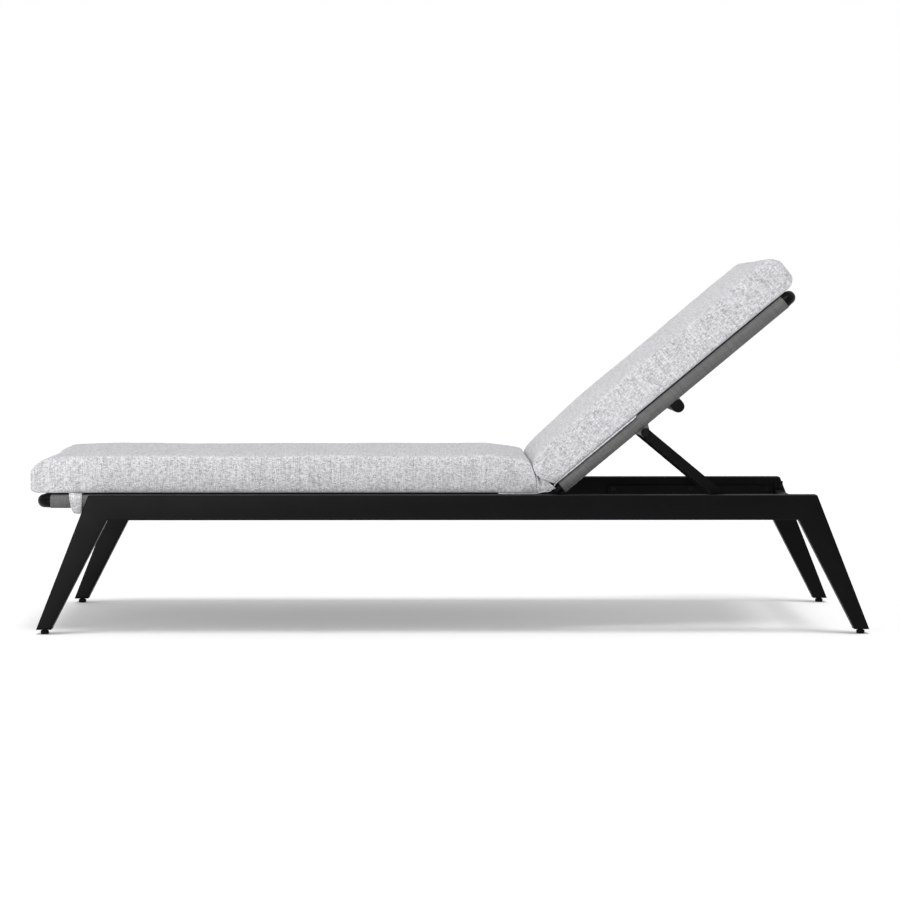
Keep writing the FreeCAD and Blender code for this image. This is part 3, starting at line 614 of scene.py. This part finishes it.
def sling_puckers(start, end, seed):
    """Places, widths and depths of the creases that run round the tube."""
    chance = random.Random(seed)
    count = int((end - start) / 0.045)
    return [(chance.uniform(start, end), chance.uniform(0.002, 0.006), chance.uniform(-0.0002, 0.00035))
            for _ in range(count)]


def bend_inwards(x, bend):
    """How far the side tube has turned inwards at x, past the place where its corner bend starts."""
    past = (x - bend[0]) * bend[1]
    if past <= 0:
        return 0.0
    return BEND_RADIUS - math.sqrt(max(0.0, BEND_RADIUS ** 2 - past ** 2))


def make_sling(name, span, bend, body, replaced, seed, raised):
    """One taut sling with a sleeve round each side tube and its rows of stitches."""
    row_step, panel_edge, panel_z = 0.0035, TUBE_Y - 0.02, TUBE_Z + 0.016
    path = sleeve_path()
    full = [(-y, z) for y, z in reversed(path[1:])] + path
    lengths = [0.0]
    for a, b in zip(full, full[1:]):
        lengths.append(lengths[-1] + math.dist(a, b))
    puckers = sling_puckers(span[0], span[1], seed)
    steps = int((span[1] - span[0]) / row_step)
    rows, places = [], []
    for i in range(steps + 1):
        x = span[0] + (span[1] - span[0]) * i / steps
        share = (x - span[0]) / (span[1] - span[0])
        crease = sum(depth * math.exp(-((x - at) / width) ** 2) for at, width, depth in puckers)
        row = []
        for y, z in full:
            across = abs(y)
            if across < panel_edge and z > panel_z:
                slack = math.sin(math.pi * min(1, max(0, share)))
                dip = SLING_DIP * (1.0 - (across / panel_edge) ** 2) * slack
                row.append((x, y, z - dip))
            elif across > panel_edge + 0.001:
                out = Vector((across - TUBE_Y, z - TUBE_Z))
                swell = max(0.0, crease) * (1.0 - 0.3 * noise.noise((x * 40, y * 60, z * 60)))
                out = out.normalized() * (out.length + swell)
                row.append((x, math.copysign(TUBE_Y + out.x, y), TUBE_Z + out.y))
            else:
                row.append((x, y, z))
        inwards = bend_inwards(x, bend)
        rows.append([(at_x, y * (1.0 - inwards / TUBE_Y), z) for at_x, y, z in row])
        places.append([(x, along) for along in lengths])
    made = grid_piece(name, rows, "sling_fabric", places)
    solid = made.modifiers.new("thickness", "SOLIDIFY")
    solid.thickness = SLING_THICKNESS
    solid.offset = 0.0
    apply_modifiers(made)
    if raised:
        raise_piece(made)
    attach(made, body)
    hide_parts(*replaced)
    seams = []
    inset, seam_z = 0.010, TUBE_Z + 0.0146
    for side in SIDES.values():
        for y in SEAM_ROWS:
            seams.append([(x, side * y, seam_z) for x in (span[0] + inset, span[1] - inset)])
    stitches = row_piece(name + "_stitches", seams, "sling_thread", *SLING_STITCH)
    if raised:
        raise_piece(stitches)
    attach(stitches, body)


# ---- cushions ----------------------------------------------------------------------------------------
def pad_shell(corner_at, counts):
    """A closed box of quads with cloth places; corner_at gives a corner from three shares.

    Also gives the corners' indices by their three counts."""
    mesh = bmesh.new()
    layer = mesh.loops.layers.uv.new("cloth")
    found = {}

    def corner(step):
        """The corner at a step, made when it is first asked for."""
        if step not in found:
            found[step] = mesh.verts.new(corner_at(*(n / count for n, count in zip(step, counts))))
        return found[step]

    def side(fixed, value, a_axis, b_axis, flip):
        """One side of the box, at a value of the fixed axis."""
        for a in range(counts[a_axis]):
            for b in range(counts[b_axis]):
                ring = []
                for da, db in ((0, 0), (1, 0), (1, 1), (0, 1)):
                    at = [0, 0, 0]
                    at[fixed], at[a_axis], at[b_axis] = value, a + da, b + db
                    ring.append(corner(tuple(at)))
                if flip:
                    ring.reverse()
                face = mesh.faces.new(ring)
                for loop in face.loops:
                    co = loop.vert.co
                    loop[layer].uv = (co[a_axis] + fixed * 0.7, co[b_axis] + value * 0.013)

    side(2, counts[2], 0, 1, False)
    side(2, 0, 0, 1, True)
    side(1, 0, 0, 2, False)
    side(1, counts[1], 0, 2, True)
    side(0, counts[0], 1, 2, False)
    side(0, 0, 1, 2, True)
    mesh.verts.index_update()
    return mesh, {step: vert.index for step, vert in found.items()}


def seam_loops(corners, counts):
    """The upper and the lower edge of the box, each as a closed ring of indices."""
    loops = []
    for k in (0, counts[2]):
        steps = [(i, 0, k) for i in range(counts[0])] + [(counts[0], j, k) for j in range(counts[1])]
        steps += [(counts[0] - i, counts[1], k) for i in range(counts[0])]
        steps += [(0, counts[1] - j, k) for j in range(counts[1] + 1)]
        loops.append([corners[step] for step in steps])
    return loops


def puff(piece, pressure, cap, frames=20):
    """Blows the cover up from inside by cloth simulation, each point moving at most cap."""
    before = [v.co.copy() for v in piece.data.vertices]
    cloth = piece.modifiers.new("filling", "CLOTH")
    cloth.settings.use_pressure = True
    cloth.settings.uniform_pressure_force = pressure
    cloth.settings.effector_weights.gravity = 0.0
    cloth.settings.tension_stiffness = 12.0
    cloth.settings.compression_stiffness = 12.0
    cloth.settings.bending_stiffness = 0.6
    cloth.settings.quality = 5
    cloth.point_cache.frame_start = 1
    cloth.point_cache.frame_end = frames
    scene = bpy.context.scene
    for frame_number in range(1, frames + 1):
        scene.frame_set(frame_number)
    apply_modifiers(piece)
    scene.frame_set(1)
    for vertex, old in zip(piece.data.vertices, before):
        move = vertex.co - old
        if move.length > cap:
            vertex.co = old + move * (cap / move.length)


def quarter(distance, reach):
    """0 at the end of a rounding, 1 from its reach on, along a quarter of an ellipse."""
    if distance >= reach:
        return 1.0
    return math.sqrt(max(0.0, 1.0 - ((reach - max(0.0, distance)) / reach) ** 2))


def smooth(value):
    """An even rise from 0 to 1, held outside."""
    value = max(0.0, min(1.0, value))
    return value * value * (3.0 - 2.0 * value)


def subdivide(piece):
    """Rounds a piece by one step of subdivision."""
    finer = piece.modifiers.new("finer", "SUBSURF")
    finer.levels = 1
    finer.render_levels = 1
    apply_modifiers(piece)
    for face in piece.data.polygons:
        face.use_smooth = True


def cushion_wrinkles(co, seed):
    """Small uneven swelling of the filling."""
    slow = noise.noise((co.x * 6 + seed, co.y * 6, co.z * 9)) * 0.0016
    quick = noise.noise((co.x * 23, co.y * 21 + seed, co.z * 30)) * 0.0007
    return slow + quick


def blend_over_fold(piece):
    """Bakes the piece's placement into its mesh."""
    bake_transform(piece)


def make_pad(name, node, form, seed, raised):
    """A blown-up pad with a rounded far end, pressed against the other pad at the fold plane.

    The form says: sign, 1 for the seat pad, whose fold end faces the head, and -1 for the back pad;
    far, the X of the far end; flat, the height of the upper edge by the distance from the fold;
    nose_top and nose_low, the reach and the height where each rounding of the far end starts;
    recess, the depth, the height where it starts and the power of the cut-away lower fold corner."""
    sign, far, flat = form["sign"], form["far"], form["flat"]
    full = flat(0.4)

    def fold_x(z):
        """X of the fold plane at a height."""
        return HINGE.x - sign * (z - HINGE.z) * FOLD_LEAN

    def corner_at(along, across, up):
        """A corner of the plain box from three shares."""
        z = CUSHION_BOTTOM + (full - CUSHION_BOTTOM) * up
        end = fold_x(z) + sign * PAD_OVERLAP
        return Vector((far + (end - far) * along, CUSHION_HALF * (2.0 * across - 1.0), z))

    counts = (round(abs(fold_x(full) - far) / PAD_CELL), PAD_CELLS_ACROSS, PAD_CELLS_UP)
    if sign < 0:
        mirrored = corner_at

        def corner_at(along, across, up):
            """The same box, counted from its other end."""
            return mirrored(1.0 - along, across, up)

    shell, corners = pad_shell(corner_at, counts)
    made = piece_from(name, shell, "cushion_fabric")
    start = [v.co.copy() for v in made.data.vertices]
    puff(made, 4.0, 0.018)
    top_reach, top_start = form["nose_top"]
    low_reach, low_start = form["nose_low"]
    recess, recess_start, recess_power = form["recess"]
    contact, press = 0.0001, 0.004
    side_y, near, fullness = CUSHION_HALF - 0.001, 0.045, 0.004
    kept_along, kept_across, kept_up = 0.25, 0.5, 0.25
    fold_corners = set()
    for vertex, before in zip(made.data.vertices, start):
        on_side = abs(before.y) > side_y
        if on_side and (before.x - fold_x(before.z)) * sign > PAD_OVERLAP - 0.001:
            fold_corners.add(vertex.index)
        swell = vertex.co - before
        co = before + Vector((swell.x * kept_along, swell.y * kept_across, swell.z * kept_up))
        up = max(0.0, (co.z - CUSHION_BOTTOM) / (full - CUSHION_BOTTOM))
        inside = (co.x - far) * sign
        from_fold = (fold_x(co.z) - co.x) * sign
        if on_side and from_fold < near:
            full_side = CUSHION_HALF + fullness * smooth(up / 0.3) * smooth((1.0 - up) / 0.3)
            co.y = math.copysign(max(abs(co.y), full_side), co.y)
        high = top_start + (flat(from_fold) - top_start) * quarter(inside, top_reach(co.y))
        low = low_start + (CUSHION_BOTTOM - low_start) * quarter(inside, low_reach)
        co.z = low + (high - low) * up
        if up > 0.2:
            co.z += cushion_wrinkles(co, seed) * min(1.0, up)
        at_edge = smooth((abs(co.y) - CUSHION_HALF + 0.022) / 0.020)
        co.z -= form["droop"](inside) * at_edge * (1.0 - min(1.0, up))
        tilt = (fold_x(co.z) - co.x) * sign
        eased = contact + (tilt if tilt > press else press * math.exp((tilt - press) / press))
        below = max(0.0, (recess_start - co.z) / (recess_start - CUSHION_BOTTOM))
        near_fold = smooth(1.0 - tilt / 0.12)
        co.x += sign * (tilt - eased) - sign * recess * below ** recess_power * near_fold
        vertex.co = co
    made.data.update()
    sharp = made.data.attributes.new("crease_edge", "FLOAT", "EDGE")
    for edge in made.data.edges:
        if fold_corners.issuperset(edge.vertices):
            sharp.data[edge.index].value = 1.0
            edge.use_edge_sharp = True
    subdivide(made)
    paths = [[made.data.vertices[i].co.copy() for i in loop] for loop in seam_loops(corners, counts)]
    stitches = row_piece(name + "_seams", paths, "cushion_thread", *PAD_STITCH)
    for piece in (made, stitches):
        if raised:
            raise_piece(piece)
        blend_over_fold(piece)
    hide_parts(node)


def seat_flat(from_fold):
    """Height of the seat pad's upper edge: level, and falling a little towards both ends."""
    slope = 0.13 * max(0.0, 0.090 - max(0.0, from_fold)) + 0.003 * smooth((from_fold - 1.05) / 0.10)
    return 0.4265 - slope - 0.002 * (1.0 - quarter(from_fold, 0.012))


def back_flat(from_fold):
    """Height of the back pad's upper edge: rounded at the fold and slightly thicker to the head."""
    rise = 0.1255 + 0.0100 * smooth(from_fold / 0.25)
    return HINGE.z + rise - 0.009 * (1.0 - quarter(from_fold, 0.060))


def foot_reach(y):
    """Length of the foot end's upper rounding: the filling sits fuller on the right side."""
    return 0.078 - 0.036 * smooth((y - 0.03) / 0.10)


def make_cushions():
    """The seat pad and the back pad."""
    seat_form = {
        "sign": 1.0, "far": SEAT_FOOT, "flat": seat_flat,
        "nose_top": (foot_reach, 0.375), "nose_low": (0.015, 0.355),
        "recess": (0.015, 0.380, 1.5), "droop": lambda inside: 0.0}
    back_form = {
        "sign": -1.0, "far": BACK_HEAD, "flat": back_flat,
        "nose_top": (lambda y: 0.036, HINGE.z + 0.095), "nose_low": (0.028, HINGE.z + 0.085),
        "recess": (0.037, HINGE.z + 0.095, 1.2),
        "droop": lambda inside: 0.0036 + 0.0012 * smooth((inside - 0.55) / 0.15)}
    make_pad("seat_pad", "seat_cushion", seat_form, 3.1, False)
    make_pad("back_pad", "back_cushion", back_form, 8.7, True)


def smooth_path(points, steps):
    """A Catmull-Rom curve through points, with steps pieces between each two."""
    ends = [points[0] * 2 - points[1]] + list(points) + [points[-1] * 2 - points[-2]]
    path = []
    for i in range(1, len(ends) - 2):
        a, b, c, d = ends[i - 1], ends[i], ends[i + 1], ends[i + 2]
        for n in range(steps):
            t = n / steps
            path.append(0.5 * (2 * b + (c - a) * t + (2 * a - 5 * b + 4 * c - d) * t ** 2
                               + (3 * b - a - 3 * c + d) * t ** 3))
    path.append(points[-1])
    return path


def cloth_across(name, section, half, thickness, ripple, cells=90):
    """A light cloth sheet: a section in the XZ plane carried across the lounger.

    Behind the fold its side edges droop a little."""
    droop, droop_start, droop_width, fold_start = 0.0052, half - 0.022, 0.020, 0.215
    lengths = [0.0]
    for a, b in zip(section, section[1:]):
        lengths.append(lengths[-1] + (b - a).length)
    rows, places = [], []
    for j in range(cells + 1):
        y = -half + 2.0 * half * j / cells
        at_edge = smooth((abs(y) - droop_start) / droop_width)
        row = []
        for point, along in zip(section, lengths):
            shift = ripple * noise.noise((along * 45, y * 16, 2.0))
            shift -= droop * at_edge * smooth((point.x - fold_start) / 0.03)
            row.append(point + Vector((shift * 0.4, y, shift)))
        rows.append(row)
        places.append([(along, y) for along in lengths])
    made = grid_piece(name, rows, "cushion_fabric", places)
    solid = made.modifiers.new("thickness", "SOLIDIFY")
    solid.thickness = thickness
    solid.offset = 0.0
    apply_modifiers(made)
    blend_over_fold(made)
    return made, lengths[-1]


def make_fold_cloth():
    """The cloth that joins the two pads under the fold, and its pleated corners at the sides."""
    sheet_z = CUSHION_BOTTOM - 0.0014
    under_seat = [Vector((x, 0, sheet_z)) for x in (0.110, 0.160, 0.196)]
    across = [Vector((0.213, 0, 0.3385)), Vector((0.236, 0, 0.3450))]
    under_back = [on_back(HINGE.x + along, 0, sheet_z) for along in (0.066, 0.100, 0.180, 0.260, 0.315)]
    section = smooth_path(under_seat + across + under_back, 6)
    sheet, length = cloth_across("fold_cloth", section, CUSHION_HALF, 0.0016, 0.0008)
    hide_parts("cushion_flap")
    for name, side in SIDES.items():
        make_gusset(name, side)


def make_gusset(name, side):
    """Three-cornered pleated cloth that closes the gap between the pads' lower corners."""
    apex = (Vector((0.1970, 0, 0.3830)), Vector((0.2110, 0, 0.3820)))
    base = (Vector((0.1950, 0, 0.3372)), Vector((0.2490, 0, 0.3472)))
    side_y, pleat_depth, fullness, sag = 0.2955, 0.022, 0.0035, 0.002
    rows, places = [], []
    for i in range(21):
        down = i / 20.0
        row, place = [], []
        for j in range(25):
            across = j / 24.0
            top = apex[0].lerp(apex[1], across)
            low = base[0].lerp(base[1], across)
            point = top.lerp(low, down)
            valley = (0.5 + 0.5 * math.cos(4.0 * math.pi * across)) ** 1.5
            pleat = pleat_depth * valley * (1.0 - 0.55 * across) * max(0.0, 1.0 - down / 0.75) ** 0.6
            belly = fullness * math.sin(math.pi * down)
            drop = sag * math.sin(math.pi * across) * down
            row.append((point.x, side * (side_y - pleat + belly), point.z - drop))
            place.append((across * 0.052, down * 0.050))
        rows.append(row)
        places.append(place)
    made = grid_piece("fold_gusset_" + name, rows, "cushion_fabric", places)
    solid = made.modifiers.new("thickness", "SOLIDIFY")
    solid.thickness = CLOTH_SHEET
    solid.offset = 0.0
    apply_modifiers(made)
    blend_over_fold(made)


def make_strap(name, side):
    """Loop of cushion cloth round the seat tube, narrower where it hangs below."""
    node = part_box("strap_loop_" + name)
    middle_x = (node[0][0] + node[1][0]) / 2.0
    half_width = (node[1][0] - node[0][0]) / 2.0
    reach = (node[1][1] - node[0][1]) / 2.0 - 0.001
    top, bottom = CUSHION_BOTTOM + 0.001, node[0][2] + 0.001
    turn_z = bottom + reach
    path = [(-reach, top), (-reach, (top + turn_z) / 2)]
    for i in range(25):
        angle = math.pi * i / 24
        path.append((-reach * math.cos(angle), turn_z - reach * math.sin(angle)))
    path += [(reach, (top + turn_z) / 2), (reach, top)]
    rows, places = [], []
    along = 0.0
    for i, (y, z) in enumerate(path):
        low = max(0.0, min(1.0, (top - z) / (top - bottom)))
        narrow = half_width * (1.0 - 0.38 * low ** 2.2)
        shift = 0.004 * low ** 2
        if i:
            along += math.dist(path[i - 1], (y, z))
        row, place = [], []
        for j in range(13):
            t = j / 6.0 - 1.0
            cup = 0.0012 * (1.0 - t * t)
            grow = 1.0 + cup / reach
            row.append((middle_x + shift + narrow * t, side * (TUBE_Y + y * grow), z - cup * low))
            place.append((narrow * t, along))
        rows.append(row)
        places.append(place)
    made = grid_piece("strap_" + name, rows, "cushion_fabric", places)
    solid = made.modifiers.new("thickness", "SOLIDIFY")
    solid.thickness = 0.002
    solid.offset = 0.0
    apply_modifiers(made)
    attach(made, "frame")
    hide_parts("strap_loop_" + name)


# ---- camera, lights and floor ------------------------------------------------------------------------
def make_floor():
    """A wide white floor, not part of the lounger."""
    mesh = bmesh.new()
    bmesh.ops.create_grid(mesh, x_segments=1, y_segments=1, size=30.0)
    made = bpy.data.objects.new("floor", bpy.data.meshes.new("floor"))
    mesh.to_mesh(made.data)
    mesh.free()
    bpy.context.scene.collection.objects.link(made)
    material, _, shader = new_material("white studio floor")
    shader.inputs["Base Color"].default_value = (0.78, 0.78, 0.78, 1)
    shader.inputs["Emission Color"].default_value = (1.0, 1.0, 1.0, 1)
    shader.inputs["Emission Strength"].default_value = 0.20
    shader.inputs["Roughness"].default_value = 0.8
    shader.inputs["Specular IOR Level"].default_value = 0.2
    made.data.materials.append(material)


def make_light(name, place, target, size, power):
    """A rectangular light at a place, turned to its target."""
    lamp = bpy.data.lights.new(name, "AREA")
    lamp.shape = "RECTANGLE"
    lamp.size, lamp.size_y = size
    lamp.energy = power
    made = bpy.data.objects.new(name, lamp)
    bpy.context.scene.collection.objects.link(made)
    made.location = place
    made.rotation_euler = (Vector(target) - Vector(place)).to_track_quat("-Z", "Y").to_euler()


def make_studio():
    """White surroundings, a wide sun from above, a soft light on the left side and the camera."""
    scene = bpy.context.scene
    scene.view_settings.view_transform = "Standard"
    world = bpy.data.worlds.new("studio")
    world.use_nodes = True
    scene.world = world
    graph = Graph(world.node_tree)
    background = world.node_tree.nodes["Background"]
    seen = graph.node("ShaderNodeLightPath").outputs["Is Camera Ray"]
    up = graph.split(graph.node("ShaderNodeTexCoord").outputs["Generated"])[2]
    sky = graph.mix(graph.ramp(up, 0.0, 0.8), (0.42, 0.42, 0.43, 1), (0.62, 0.62, 0.635, 1))
    graph.feed(background.inputs["Color"], graph.mix(seen, sky, (1.0, 1.0, 1.0, 1)))
    sun = bpy.data.lights.new("overhead", "SUN")
    sun.energy = 1.75
    sun.angle = math.radians(20.0)
    lamp = bpy.data.objects.new("overhead", sun)
    scene.collection.objects.link(lamp)
    lamp.rotation_euler = (math.radians(10.0), 0.0, 0.0)
    make_light("front", (-2.6, -5.4, 0.9), (-0.1, 0.0, 0.35), (2.8, 1.8), 160.0)
    camera = bpy.data.cameras.new("camera")
    camera.lens = 101.74
    camera.sensor_width = 36.0
    camera.clip_end = 100.0
    made = bpy.data.objects.new("camera", camera)
    scene.collection.objects.link(made)
    made.location = (-0.04935, -6.420, 0.78145)
    down, turned = 3.186, -0.395
    made.rotation_euler = (math.radians(90.0 - down), 0.0, math.radians(turned))
    scene.camera = made


finish_frame_nodes()
for side_name, side_sign in SIDES.items():
    make_side_frame(side_name, side_sign)
make_sling("seat_sling", SEAT_SLING, (SEAT_BEND, -1.0), "frame",
           ("seat_sling_panel", "seat_sling_hem_left", "seat_sling_hem_right"), 5, False)
make_sling("back_sling", BACK_SLING, (BACK_BEND, 1.0), "back",
           ("back_sling_panel", "back_sling_hem_left", "back_sling_hem_right"), 11, True)
make_welds()
make_cushions()
make_fold_cloth()
for side_name, side_sign in SIDES.items():
    make_strap(side_name, side_sign)
make_floor()
make_studio()
